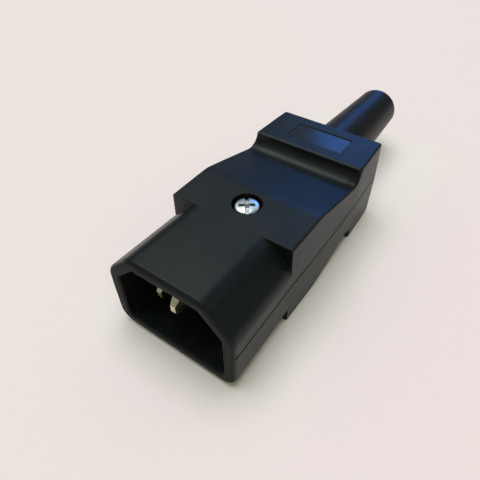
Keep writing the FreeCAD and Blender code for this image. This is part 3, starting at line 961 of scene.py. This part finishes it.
@dataclass
class CordClamp:
    """The clamp bar over the cord and its two screws."""

    bar: str = "cord_clamp_bar"
    screws: str = "cord_clamp_screws"

    def dress(self, nodes: dict[str, bpy.types.Object], screw_metal: bpy.types.Material) -> None:
        """Dress the bar in grey-black plastic and its screws in a given metal."""
        plastic = MouldedPlastic(
            name="clamp_moulding",
            dark=(0.018, 0.0185, 0.02),
            light=(0.024, 0.0245, 0.026),
            wear_and_highlight=(0.035, 0.035, 0.036),
            roughness=0.48,
        )
        dress(nodes[self.bar], plastic.material())
        dress(nodes[self.screws], screw_metal)


@dataclass
class Boot:
    """The tapered rubber boot at the tail."""

    sleeve: str = "strain_relief_boot"

    def dress(self, nodes: dict[str, bpy.types.Object]) -> None:
        """Dress the boot in satin rubber."""
        rubber = SatinRubber(
            name="satin_rubber",
            dark=(0.0052, 0.0056, 0.0066),
            bloom=(0.0078, 0.0082, 0.0094),
        )
        dress(nodes[self.sleeve], rubber.material())


def hang(light: bpy.types.Light, place: Vector) -> bpy.types.Object:
    """Hang a light at a place, in metres, facing the object.

    Args:
        light: the light.
        place: where it hangs, counted from the object.

    Returns:
        The lamp.
    """
    lamp = bpy.data.objects.new(light.name, light)
    lamp.location = place
    lamp.rotation_mode = "QUATERNION"
    lamp.rotation_quaternion = place.to_track_quat("Z", "Y")
    lamp.visible_camera = False
    bpy.context.scene.collection.objects.link(lamp)
    LOG.info("%s hung", lamp.name)
    return lamp


@dataclass(frozen=True)
class Card:
    """A glowing card, in metres, that shows in the object's gloss and adds no light to its colour."""

    name: str
    place: Triple
    size: tuple[float, float]
    radiance: Colour

    def hang(self) -> bpy.types.Object:
        """Return the card, hung in its place."""
        light = bpy.data.lights.new(self.name, "AREA")
        light.shape = "RECTANGLE"
        light.size, light.size_y = self.size
        brightest = max(self.radiance)
        light.color = [part / brightest for part in self.radiance]
        light.energy = brightest * math.pi * self.size[0] * self.size[1]
        lamp = hang(light, Vector(self.place))
        lamp.visible_diffuse = False
        return lamp


@dataclass
class Studio:
    """The table, the light and the camera; the camera's place and the table's drop are in millimetres."""

    camera_place: Triple = (39.62, -77.18, 80.29)
    azimuth_deg: float = 36.604
    elevation_deg: float = 45.285
    roll_deg: float = -1.358
    lens: float = 34.17
    sensor_width: float = 36.0
    clip_start: float = 0.001
    table_size: float = 30.0
    table_drop: float = 0.02
    key_strength: float = 2.5
    key_colour: Colour = (0.93, 0.955, 1.0)
    key_angle_deg: float = 52.0
    key_direction: Triple = (-0.12, 0.03, 0.99)
    fill_strength: float = 1.2
    fill_colour: Colour = (0.96, 1.0, 0.7)
    fill_angle_deg: float = 170.0
    window: Card = Card("cool_window", (-0.43, 1.692, 0.975), (0.64, 0.62), (0.3, 1.42, 5.4))
    ceiling: Card = Card("pale_ceiling", (-0.5, 0.3, 1.11), (0.62, 0.44), (4.1, 4.4, 3.9))
    backdrop: Colour = (0.805, 0.73, 0.69)
    backdrop_radius: float = 4.0
    backdrop_segments: tuple[int, int] = (48, 24)
    room: tuple[tuple[float, Colour], ...] = (
        (0.0, (0.10, 0.11, 0.09)),
        (0.47, (0.10, 0.115, 0.14)),
        (0.62, (0.70, 0.86, 0.94)),
        (0.76, (0.16, 0.2, 0.21)),
    )
    front_wall: Colour = (0.28, 0.28, 0.22)
    front_fade: tuple[float, float] = (-0.2, -0.6)

    @staticmethod
    def clear() -> None:
        """Remove whatever the scene starts with."""
        for leftover in list(bpy.data.objects):
            bpy.data.objects.remove(leftover)

    @staticmethod
    def _towards(azimuth_deg: float, elevation_deg: float) -> Vector:
        """Return a direction from its turn about +Z, counted from +Y towards +X, and its height."""
        turn, rise = math.radians(azimuth_deg), math.radians(elevation_deg)
        return Vector((math.sin(turn) * math.cos(rise), math.cos(turn) * math.cos(rise), math.sin(rise)))

    def table(self) -> bpy.types.Object:
        """Return the table top."""
        mesh = bmesh.new()
        bmesh.ops.create_grid(mesh, x_segments=2, y_segments=2, size=self.table_size / 2)
        bmesh.ops.translate(mesh, verts=mesh.verts, vec=(0, 0, -self.table_drop * MM))
        top = finished_object("table_top", mesh)
        dress(top, TableTop().material())
        top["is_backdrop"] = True
        return top

    def surround(self) -> bpy.types.Object:
        """Return the pale backdrop all round, far off, which only the camera sees."""
        mesh = bmesh.new()
        round_it, upward = self.backdrop_segments
        bmesh.ops.create_uvsphere(
            mesh, u_segments=round_it, v_segments=upward, radius=self.backdrop_radius,
        )
        wall = finished_object("backdrop", mesh)
        material, graph = new_material("pale_backdrop")
        graph.node_output(
            "ShaderNodeOutputMaterial",
            graph.node("ShaderNodeEmission", sockets={"Color": (*self.backdrop, 1.0)}),
        )
        dress(wall, material)
        wall.visible_diffuse = wall.visible_glossy = wall.visible_shadow = False
        wall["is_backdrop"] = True
        return wall

    def lamps(self) -> None:
        """Hang a soft key, a wide warm fill and the cards that show in the gloss of the object."""
        above = Vector(self.key_direction).normalized()
        self._soft_light("soft_key", above, self.key_strength, self.key_colour, self.key_angle_deg)
        up = Vector((0.0, 0.0, 1.0))
        self._soft_light("warm_fill", up, self.fill_strength, self.fill_colour, self.fill_angle_deg)
        for card in (self.window, self.ceiling):
            card.hang()

    @staticmethod
    def _soft_light(name: str, place: Vector, strength: float, colour: Colour, angle_deg: float) -> None:
        """Hang a far, wide light that does not show in the gloss.

        Args:
            name: its name.
            place: the direction that it shines from.
            strength: its light on a surface that faces it.
            colour: its tint.
            angle_deg: how wide it is in the sky.
        """
        light = bpy.data.lights.new(name, "SUN")
        light.energy = strength
        light.color = colour
        light.angle = math.radians(angle_deg)
        hang(light, place).visible_glossy = False

    def world(self) -> None:
        """Surround the scene with a dim room that only the gloss shows, with a pale band half way up."""
        world = bpy.data.worlds.new("room")
        world.use_nodes = True
        bpy.context.scene.world = world
        world.cycles_visibility.diffuse = False
        graph = Graph(world.node_tree)
        _, depth, height = graph.axes(graph.node("ShaderNodeTexCoord", out="Generated"))
        room = graph.node("ShaderNodeValToRGB", {"stops": self.room}, {0: height})
        colour = graph.blend(depth.ease(*self.front_fade), room, self.front_wall)
        glow = graph.node("ShaderNodeBackground", sockets={"Color": colour})
        graph.node_output("ShaderNodeOutputWorld", glow)

    def camera(self) -> bpy.types.Object:
        """Return the camera, placed and turned as the photograph was taken."""
        data = bpy.data.cameras.new("camera")
        data.lens = self.lens
        data.sensor_width = self.sensor_width
        data.clip_start = self.clip_start
        camera = bpy.data.objects.new("camera", data)
        back = self._towards(180.0 - self.azimuth_deg, self.elevation_deg)
        aim = (-back).to_track_quat("-Z", "Y")
        camera.rotation_mode = "QUATERNION"
        camera.rotation_quaternion = aim @ Quaternion((0, 0, 1), math.radians(self.roll_deg))
        camera.location = Vector(self.camera_place) * MM
        bpy.context.scene.collection.objects.link(camera)
        bpy.context.scene.camera = camera
        return camera

    def view_settings(self) -> None:
        """Show colours as they are written."""
        bpy.context.scene.view_settings.view_transform = "Standard"


def main() -> None:
    """Build and dress the plug, then set up the table, light and camera."""
    logging.basicConfig(level=logging.INFO, format="%(name)s: %(message)s")
    studio = Studio()
    studio.clear()
    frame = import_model()
    nodes = frame["nodes"]
    zinc = PlatedMetal(
        name="bright_zinc",
        bright=(0.74, 0.75, 0.72),
        dull=(0.50, 0.52, 0.51),
        marks=Marks.ALL_ROUND,
        roughness=0.32,
    ).material()
    Housing().dress(nodes)
    Boot().dress(nodes)
    Contacts().dress(nodes, zinc)
    CordClamp().dress(nodes, zinc)
    for fastener in (CoverScrew(), CoverNut()):
        fastener.dress(fastener.build(), zinc)
    studio.table()
    studio.surround()
    studio.lamps()
    studio.world()
    studio.camera()
    studio.view_settings()


if __name__ == "__main__":
    main()
